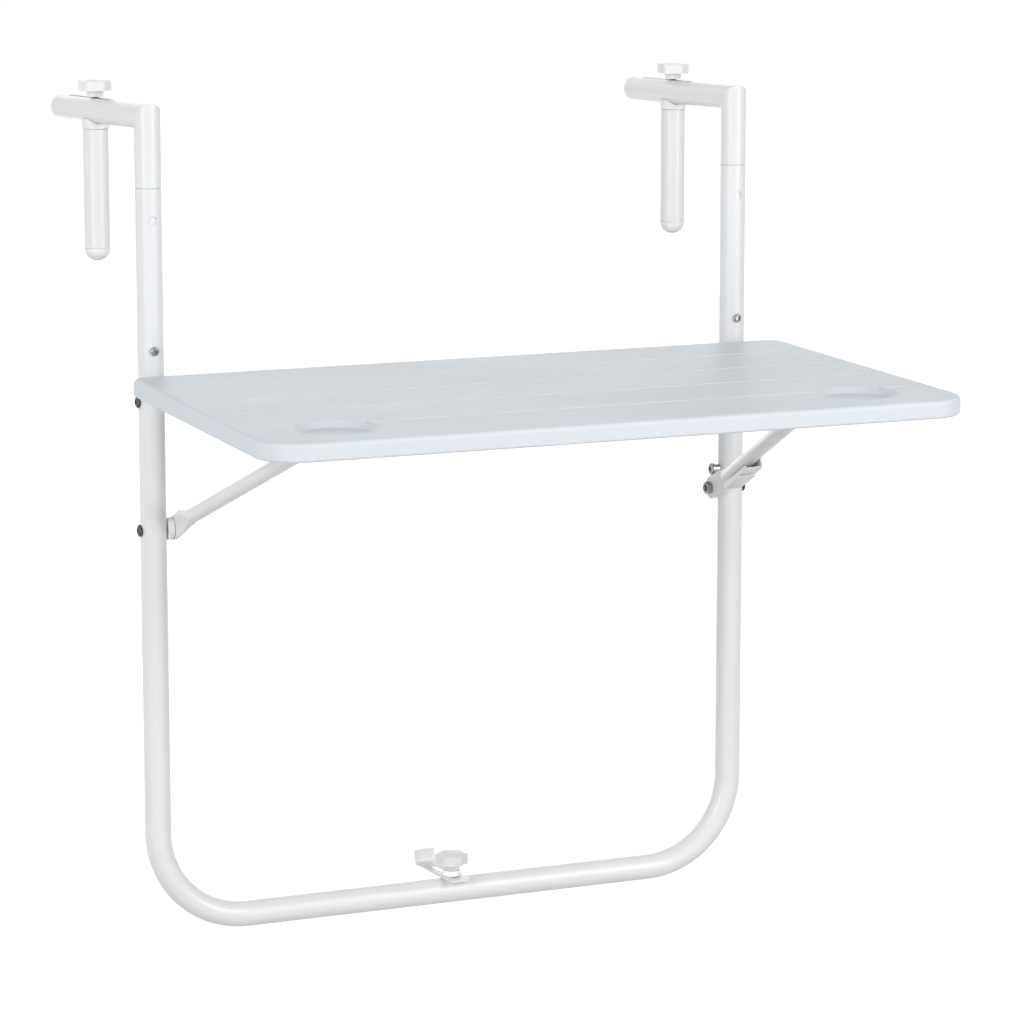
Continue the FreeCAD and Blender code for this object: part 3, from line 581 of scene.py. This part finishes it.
def makeKnob():
    edge, low, high = knob["edge"], knob["stemTop"], knob["capTop"]
    rings = [(threadHole, knob["studDepth"]), (threadHole, 0.35), (threadHole + 0.35, 0.0),
             (knob["foot"] - 0.4, 0.0), (knob["foot"], 0.4), (knob["stem"] - 0.1, low - 0.8),
             (knob["stem"] + 0.7, low), (9.2, low),
             (9.4, low + 1.4), (10.6, low + 1.4), (10.8, low), (edge, low), (edge, high), (8.6, high + 0.4),
             (8.3, high + 0.15), (7.8, high + 0.15), (7.5, high + 0.5), (3.5, knob["crown"] - 0.1),
             (0, knob["crown"])]
    piece = turned("knob", rings, 96)
    notches = []
    reach = edge + knob["notchRadius"] - knob["notchDepth"]
    for i in range(knob["notches"]):
        angle = math.radians(360 / knob["notches"] * i)
        foot = (reach * math.cos(angle), reach * math.sin(angle), -1)
        notches.append(drill("notch", knob["notchRadius"], foot, zAxis, 20, 96))
    cutWith(piece, joined("notches", *notches))
    soften(piece, knob["soft"], 38, 4)
    return piece


def placedKnob(name, foot, turn):
    piece = copied(knobPattern, name)
    piece.rotation_euler.z = math.radians(turn)
    piece.location = Vector(foot) * mm
    activate(piece)
    bpy.ops.object.transform_apply(location=True, rotation=True, scale=True)
    return piece


knobPattern = makeKnob()


def threaded(name, length, radius=3.0, pitch=1.0):
    # the thread is cut as rings, with a chamfered tip
    rings = [(radius - 0.7, 0.0), (radius - 0.1, 0.6)]
    height = 1.0
    while height < length - 1.2:
        rings += [(radius, height), (radius, height + 0.15 * pitch), (radius - 0.55, height + 0.5 * pitch),
                  (radius - 0.55, height + 0.6 * pitch)]
        height += pitch
    rings += [(radius - 0.1, length - 0.6), (radius - 0.7, length)]
    return turned(name, rings, 24)


# hooks, clamps and caps
toe = math.radians(2.0)
droop = math.radians(2.1)
armLength = 231.0
clampReach = 140.0
armWay = Vector((math.sin(toe) * math.cos(droop), math.cos(toe) * math.cos(droop), -math.sin(droop)))
elbow = Vector((tubing["postX"], 0, tubing["radius"]))
clampPoint = elbow + armWay * clampReach
armEnd = elbow + armWay * armLength
clamp = {"seamDrop": 16.0, "capDrop": 120.0, "wingTop": 7.0, "wingRadius": 11.75, "armClear": 11.55,
         "plug": 9.7, "plugLength": 16.0, "capPlug": 12.0, "knobGap": 0.3}
knobFoot = clampPoint + zAxis * (tubing["radius"] / math.cos(droop) + knob["foot"] * math.tan(droop)
                               + clamp["knobGap"])


def tubeCap(name, end, way):
    # domed plug: a short land at the tube's end, then the ball
    radius = tubing["radius"]
    rings = [(clamp["plug"] - 1.2, -clamp["capPlug"]), (clamp["plug"], -clamp["capPlug"] + 1.4),
             (clamp["plug"], 0.0), (radius - 0.55, 0.0), (radius - 0.15, 0.3), (radius, 0.8)]
    for step in range(1, 12):
        angle = math.radians(step * 7.5)
        rings.append((radius * math.cos(angle), 0.8 + (radius - 0.8) * math.sin(angle)))
    rings.append((0, radius))
    piece = stand(turned(name, rings, 64), end + way * 0.1, way)
    shadeRound(piece)
    return piece


def clampSaddle(name):
    # moulded saddle: plug in the clamp tube, and two wings that hold the arm from below
    seam, wing = clamp["seamDrop"], clamp["wingTop"]
    foot = clampPoint - zAxis * (seam + clamp["plugLength"])
    rise = clamp["plugLength"]
    rings = [(threadHole, 0), (clamp["plug"] - 1.0, 0), (clamp["plug"], 1.2), (clamp["plug"], rise),
             (clamp["wingRadius"] - 1.0, rise), (clamp["wingRadius"], rise + 0.6),
             (clamp["wingRadius"], rise + seam - wing), (threadHole, rise + seam - wing), (threadHole, 0)]
    piece = stand(turned(name, rings, 72, bored=True), foot)
    arm = drill("arm", clamp["armClear"], clampPoint - armWay * 30, armWay, 60, 96)
    cutWith(piece, arm)
    facesOutward(piece)
    shadeRound(piece, 35)
    return piece


rightPieces = {
    "ArmEndCap": (tubeCap("rightArmEndCap", armEnd, armWay), "hook", "arm_end_cap", "whitePlastic"),
    "ClampEndCap": (tubeCap("rightClampEndCap", clampPoint - zAxis * clamp["capDrop"], -zAxis), "clamp",
                    "clamp_end_cap", "whitePlastic"),
    "ClampSaddle": (clampSaddle("rightClampSaddle"), "clamp", "clamp_saddle", "whitePlastic"),
}
studFoot = clampPoint - zAxis * (clamp["seamDrop"] + clamp["plugLength"])
studLength = knobFoot.z + knob["studDepth"] - 0.1 - studFoot.z
clampStud = stand(threaded("rightClampStud", studLength), studFoot)
shadeRound(clampStud, 60)
rightPieces["ClampStud"] = (clampStud, "knob", "clamp_stud", "zinc")
rightPieces["HingeBracket"] = (softCopy("right_hinge_bracket", "rightHingeBracket", 0.5), None,
                               "hinge_bracket", "whiteSheet")
slotOf = {"whitePlastic": "white_plastic", "zinc": "zinc_steel", "bolt": "dark_steel",
          "whiteSheet": "white_sheet"}
for label, (piece, body, node, finish) in rightPieces.items():
    twin = mirroredCopy(piece, "left" + label)
    for side, one in (("right", piece), ("left", twin)):
        fit(one, side + "_" + body if body else "tabletop", slotOf[finish], finishes[finish],
            side + "_" + node)
for side, way in (("right", 1), ("left", -1)):
    fit(placedKnob(side + "ClampKnob", (way * knobFoot.x, knobFoot.y, knobFoot.z), knob["turn"][side]),
        side + "_knob", "white_plastic", finishes["whitePlastic"], side + "_clamp_knob")
print("clamps, caps, knobs and brackets made")

# bolts, nuts and spacers
bolt = {"shank": 3.0, "head": 5.25, "headHeight": 2.6, "screwHead": 3.8, "key": 4.0, "keyDepth": 1.8,
        "nutWidth": 10.0, "nutHeight": 4.8, "lift": 0.1, "hingeLength": 31.8, "pivotLength": 36.9,
        "screwLength": 1.4, "hingeNutX": 256.65, "pivotNutX": 251.25}
spacer = {"x": 254.35, "radius": 9.5, "thick": 5.3, "chamfer": 0.6}


def buttonBolt(name, seat, way, length, head, headHeight):
    # way points into the work
    rings = [(bolt["shank"] - 0.5, -length), (bolt["shank"], -length + 0.6), (bolt["shank"], 0),
             (head - 0.3, 0), (head, 0.3), (head, headHeight * 0.42), (head * 0.95, headHeight * 0.62),
             (head * 0.84, headHeight * 0.8), (head * 0.68, headHeight * 0.93), (head * 0.5, headHeight)]
    piece = turned(name, rings, 48)
    cutWith(piece, hexBar("key", bolt["key"], (0, 0, headHeight - bolt["keyDepth"]), zAxis, 6))
    soften(piece, 0.2, 40)
    return stand(piece, seat, -Vector(way))


def hexNut(name, foot, way):
    # chamfered on both faces, with the bore countersunk
    piece = hexBar(name, bolt["nutWidth"], (0, 0, 0), zAxis, bolt["nutHeight"])
    tip = bolt["nutWidth"] / math.sqrt(3)
    height = bolt["nutHeight"]
    cutWith(piece, turned("chamfer", [(tip - 0.9, -0.01), (tip + 0.05, 0.55), (tip + 0.05, height - 0.55),
                                      (tip - 0.9, height + 0.01)], 48), "INTERSECT")
    cutWith(piece, turned("bore", [(3.7, -0.1), (threadHole, 0.55), (threadHole, height - 0.55),
                                   (3.7, height + 0.1)], 32))
    shadeRound(piece, 30)
    return stand(piece, foot, way)


def bothSides(name, piece, body, finish, node):
    pair = joined(name, piece, mirroredCopy(piece, name + "Left"))
    return fit(pair, body, slotOf[finish], finishes[finish], node)


for name, level, length, node in (("hingeBolts", "hinge", "hingeLength", "hinge_bolts"),
                                  ("supportPivotBolts", "pivot", "pivotLength", "support_pivot_bolts")):
    sideBolt = buttonBolt(name, (tubing["outerX"] + bolt["lift"], 0, levels[level]), -xAxis, bolt[length],
                          bolt["head"], bolt["headHeight"])
    bothSides(name, sideBolt, "frame", "bolt", node)
screwSeat = (tubing["postX"], -tubing["radius"] - bolt["lift"], levels["lowerHole"])
heightScrew = buttonBolt("heightScrews", screwSeat, yAxis, bolt["screwLength"], bolt["screwHead"],
                         bolt["headHeight"])
bothSides("heightScrews", heightScrew, "frame", "zinc", "height_screws")
for name, level, place, node in (("hingeNuts", "hinge", "hingeNutX", "hinge_nuts"),
                                 ("supportPivotNuts", "pivot", "pivotNutX", "support_pivot_nuts")):
    bothSides(name, hexNut(name, (bolt[place], 0, levels[level]), -xAxis), "frame", "zinc", node)
flat, thick = spacer["radius"] - spacer["chamfer"], spacer["thick"]
disc = turned("supportSpacers", [(threadHole, 0), (flat, 0), (spacer["radius"], spacer["chamfer"]),
                                 (spacer["radius"], thick - spacer["chamfer"]), (flat, thick),
                                 (threadHole, thick), (threadHole, 0)], 56, bored=True)
stand(disc, (spacer["x"], 0, levels["pivot"]), xAxis)
shadeRound(disc, 30)
bothSides("supportSpacers", disc, "frame", "whitePlastic", "support_spacers")


def makeStopBolt():
    # the head lies over the bar's flattened end, and a neck holds it off the post
    head = 5.3
    rings = [(2.5, -5.5), (3.0, -4.9), (3.0, 0), (4.0, 0), (4.0, 5.0), (head - 0.3, 5.0), (head, 5.3),
             (head, 7.5), (head * 0.94, 8.1), (head * 0.8, 8.5), (head * 0.6, 8.7)]
    piece = turned("supportStopBolt", rings, 48)
    cutWith(piece, hexBar("key", bolt["key"], (0, 0, 6.9), zAxis, 6))
    soften(piece, 0.25, 40)
    low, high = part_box("support_stop_bolt")
    stand(piece, (259.65, 0, (low.z + high.z) / 2 / mm), -xAxis)
    fit(piece, "frame", "zinc_steel", finishes["zinc"], "support_stop_bolt")


makeStopBolt()


def makeBracketScrews():
    # pan-head screws up into the tabletop's bosses
    rings = [(1.2, 9.1), (2.0, 8.0), (2.0, 0), (3.8, 0), (4.0, -0.2), (4.0, -1.1), (3.6, -1.9), (2.9, -2.4)]
    screw = turned("bracketScrews", rings, 32)
    cutWith(screw, hexBar("key", 2.8, (0, 0, -5), zAxis, 3.8))
    soften(screw, 0.15, 40, 1)
    copies = []
    for side in (-1, 1):
        for y in top["bossY"]:
            one = copied(screw, "bracketScrew")
            copies.append(stand(one, (side * top["bossX"], y, -214.5)))
    bpy.data.objects.remove(screw)
    fit(joined("bracketScrews", *copies), "tabletop", "zinc_steel", finishes["zinc"], "bracket_screws")


makeBracketScrews()
fit(softCopy("fold_clip", "foldClip", 0.3), "support", "white_sheet", finishes["whiteSheet"], "fold_clip")


def makeRivets():
    # blind rivets: a domed head outside the clip, and the bulb that it drew up inside the leg
    lean = math.radians(8.4)
    rise = math.asin((levels["barSeat"] - levels["pivot"]) / barReach)
    barWay = Vector((0, -math.cos(rise), math.sin(rise)))
    legWay = barWay * math.cos(lean) - xAxis * math.sin(lean)
    barUp = barWay.cross(xAxis)
    side = legWay.cross(barUp)
    points = [vertex.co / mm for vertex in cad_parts["fold_clip_rivets"].data.vertices]
    middle = sum(points, Vector()) / len(points)
    rivets = []
    for outward in (True, False):
        own = [p for p in points if ((p - middle).dot(legWay) > 0) == outward]
        spans = [(min(p.dot(way) for p in own), max(p.dot(way) for p in own))
                 for way in (legWay, barUp, side)]
        foot = legWay * (sum(spans[0]) / 2) + barUp * (sum(spans[1]) / 2) + side * spans[2][0]
        length = spans[2][1] - spans[2][0]
        rings = [(2.2, 0), (3.1, 0.2), (3.5, 0.7), (3.5, 1.0), (2.0, 1.0), (2.0, length - 2.0),
                 (2.8, length - 2.0), (2.8, length - 0.5), (2.2, length)]
        rivet = turned("rivet", rings, 32)
        shadeRound(rivet, 40)
        rivets.append(stand(rivet, foot, side))
    fit(joined("foldClipRivets", *rivets), "support", "zinc_steel", finishes["zinc"], "fold_clip_rivets")


makeRivets()
print("fasteners made")

# wall stop
stop = {"turn": 7.3, "low": -675.45, "thick": 2.0, "halfWidth": 9.75, "front": -19.0, "back": 52.0,
        "bend": 4.0, "lipHeight": 13.3, "slotFront": -7.0, "slotBack": 33.0, "slotRadius": 3.5,
        "cornerRadius": 1.6, "collarRise": 2.3, "knobRise": 7.2}


def makeWallStopPlate():
    # one strip, bent up at its back end, with a long slot for the stud
    low, thick, back, bend = stop["low"], stop["thick"], stop["back"], stop["bend"]
    half = stop["halfWidth"]
    centreY, centreZ = back - bend, low + bend
    arc = [math.radians(a) for a in range(-90, 1, 10)]
    outer = [(-half, centreY + bend * math.cos(a), centreZ + bend * math.sin(a)) for a in arc]
    inner = [(-half, centreY + (bend - thick) * math.cos(a), centreZ + (bend - thick) * math.sin(a))
             for a in reversed(arc)]
    lipTop = low + stop["lipHeight"]
    outline = ([(-half, stop["front"], low)] + outer + [(-half, back, lipTop), (-half, back - thick, lipTop)]
               + inner + [(-half, stop["front"], low + thick)])
    plate = outlined("wallStopPlate", outline, (2 * half, 0, 0))
    pickEdges(plate, lambda a, b: abs(abs(a.x) - half) < 0.01 and abs(a.x - b.x) < 0.01 and
              ((min(a.z, b.z) > lipTop - 0.1 and abs(a.y - b.y) > 1) or
               (max(a.y, b.y) < stop["front"] + 0.1 and abs(a.z - b.z) > 1)))
    bpy.ops.mesh.bevel(offset=stop["cornerRadius"] * mm, segments=5, affect="EDGES")
    stopEditing()
    slotOutline = []
    for y, start in ((stop["slotBack"], 0), (stop["slotFront"], 180)):
        for step in range(19):
            angle = math.radians(start + 10 * step)
            slotOutline.append((stop["slotRadius"] * math.cos(angle),
                                y + stop["slotRadius"] * math.sin(angle), low - 5))
    cutWith(plate, outlined("slot", slotOutline, (0, 0, 14)))
    soften(plate, 0.3, 35)
    plate.rotation_euler.z = math.radians(stop["turn"])
    activate(plate)
    bpy.ops.object.transform_apply(location=True, rotation=True, scale=True)
    fit(plate, "stop_plate", "white_sheet", finishes["whiteSheet"], "wall_stop_plate")


makeWallStopPlate()
collar = turned("wallStopCollar", [(threadHole, 0), (8.5, 0), (8.7, 0.25), (8.45, 1.4), (7.7, 4.2),
                                   (7.3, 4.6), (threadHole, 4.6), (threadHole, 0)], 56, bored=True)
shadeRound(stand(collar, (0, 0, stop["low"] + stop["collarRise"])), 30)
fit(collar, "stop_collar", "zinc_steel", finishes["nickel"], "wall_stop_collar")
fit(placedKnob("wallStopKnob", (0, 0, stop["low"] + stop["knobRise"]), knob["turn"]["stop"]), "stop_knob",
    "grey_plastic", finishes["greyPlastic"], "wall_stop_knob")
bpy.data.objects.remove(knobPattern)
low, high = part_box("wall_stop_stud")
stopStud = stand(threaded("wallStopStud", (high.z - low.z) / mm), (0, 0, low.z / mm))
shadeRound(stopStud, 60)
fit(stopStud, "stop_knob", "zinc_steel", finishes["zinc"], "wall_stop_stud")
print("wall stop made")

# room, light and camera
room = {"floorLevel": -1150.0, "floorSize": 24.0, "floorShade": 0.42, "nearGlow": 0.88, "farGlow": 1.0,
        "glowFrom": 1.0, "glowTo": 3.0, "ambient": 0.30}


def makeRoom():
    deselectAll()
    bpy.ops.mesh.primitive_plane_add(size=room["floorSize"], location=(0, 2, room["floorLevel"] * mm))
    floor = named("floor")
    look = Finish("paleFloor", "ShaderNodeAddShader")
    rays = look.add("ShaderNodeLightPath")
    glossy = Wire(look, rays.socket.node.outputs["Is Glossy Ray"])
    through = Wire(look, rays.socket.node.outputs["Is Transmission Ray"])
    cloth = look.noise(400.0, 2.0)
    distance = look.add("ShaderNodeVectorMath", {"operation": "LENGTH"}, {0: look.place()}, output=1)
    glowLevel = look.add("ShaderNodeMapRange", None,
                         {"Value": distance, "From Min": room["glowFrom"], "From Max": room["glowTo"],
                          "To Min": room["nearGlow"], "To Max": room["farGlow"]})
    diffuse = look.add("ShaderNodeBsdfDiffuse", None,
                       {"Color": look.tint(cloth, (room["floorShade"],) * 3,
                                           (room["floorShade"] + 0.02,) * 3)})
    glow = look.add("ShaderNodeEmission", None,
                    {"Color": (1, 1, 1, 1), "Strength": (rays + glossy + through) * glowLevel})
    look.feed(look.shader.inputs[0], diffuse)
    look.feed(look.shader.inputs[1], glow)
    floor.data.materials.append(look.material)

    world = bpy.data.worlds.new("studio")
    bpy.context.scene.world = world
    world.use_nodes = True
    nodes, links = world.node_tree.nodes, world.node_tree.links
    nodes.clear()
    path = nodes.new("ShaderNodeLightPath")
    seen = nodes.new("ShaderNodeMath")
    seen.operation = "MAXIMUM"
    shown = nodes.new("ShaderNodeMath")
    shown.operation = "MAXIMUM"
    links.new(path.outputs["Is Camera Ray"], seen.inputs[0])
    links.new(path.outputs["Is Transmission Ray"], seen.inputs[1])
    links.new(seen.outputs[0], shown.inputs[0])
    links.new(path.outputs["Is Glossy Ray"], shown.inputs[1])
    backdrop = nodes.new("ShaderNodeBackground")
    backdrop.inputs["Color"].default_value = (1, 1, 1, 1)
    ambient = nodes.new("ShaderNodeBackground")
    ambient.inputs["Color"].default_value = (0.96, 0.98, 1.0, 1)
    ambient.inputs["Strength"].default_value = room["ambient"]
    mixed = nodes.new("ShaderNodeMixShader")
    output = nodes.new("ShaderNodeOutputWorld")
    links.new(shown.outputs[0], mixed.inputs[0])
    links.new(ambient.outputs[0], mixed.inputs[1])
    links.new(backdrop.outputs[0], mixed.inputs[2])
    links.new(mixed.outputs[0], output.inputs["Surface"])


softboxes = {
    "leftSoftbox": {"place": (-3.0, -2.0, 0.65), "size": (1.1, 2.4), "power": 53.0},
    "sideSoftbox": {"place": (-2.8, 1.0, 0.0), "size": (1.6, 2.6), "power": 14.0},
    "rightSoftbox": {"place": (1.6, -2.8, 0.65), "size": (1.0, 2.4), "power": 52.0},
    "lowSoftbox": {"place": (-0.6, -3.0, -0.8), "size": (2.4, 0.6), "power": 9.0},
    "topSoftbox": {"place": (0.2, -0.6, 2.6), "size": (2.4, 2.0), "power": 7.0},
    "backSoftbox": {"place": (0.8, 2.8, -0.1), "size": (2.4, 2.0), "power": 20.0},
}


def makeLights():
    aim = Vector((0, -0.1, -0.3))
    for name, box in softboxes.items():
        deselectAll()
        bpy.ops.object.light_add(type="AREA", location=box["place"])
        lamp = named(name)
        lamp.data.shape = "RECTANGLE"
        lamp.data.size, lamp.data.size_y = box["size"]
        lamp.data.energy = box["power"]
        lamp.rotation_euler = (aim - Vector(box["place"])).to_track_quat("-Z", "Y").to_euler()
        lamp.visible_camera = False


shot = {"place": (-1.17276, -3.01469, 0.2743), "turn": -22.212, "dip": 9.267, "lens": 131.891, "shiftY": -0.1}


def makeCamera():
    deselectAll()
    bpy.ops.object.camera_add(location=shot["place"],
                              rotation=(math.radians(90 - shot["dip"]), 0, math.radians(shot["turn"])))
    camera = named("camera")
    camera.data.lens = shot["lens"]
    camera.data.sensor_width = 36.0
    camera.data.shift_y = shot["shiftY"]
    camera.data.clip_start, camera.data.clip_end = 0.1, 60.0
    bpy.context.scene.camera = camera


makeRoom()
makeLights()
makeCamera()
bpy.context.scene.view_settings.view_transform = "Standard"

print("scene done")
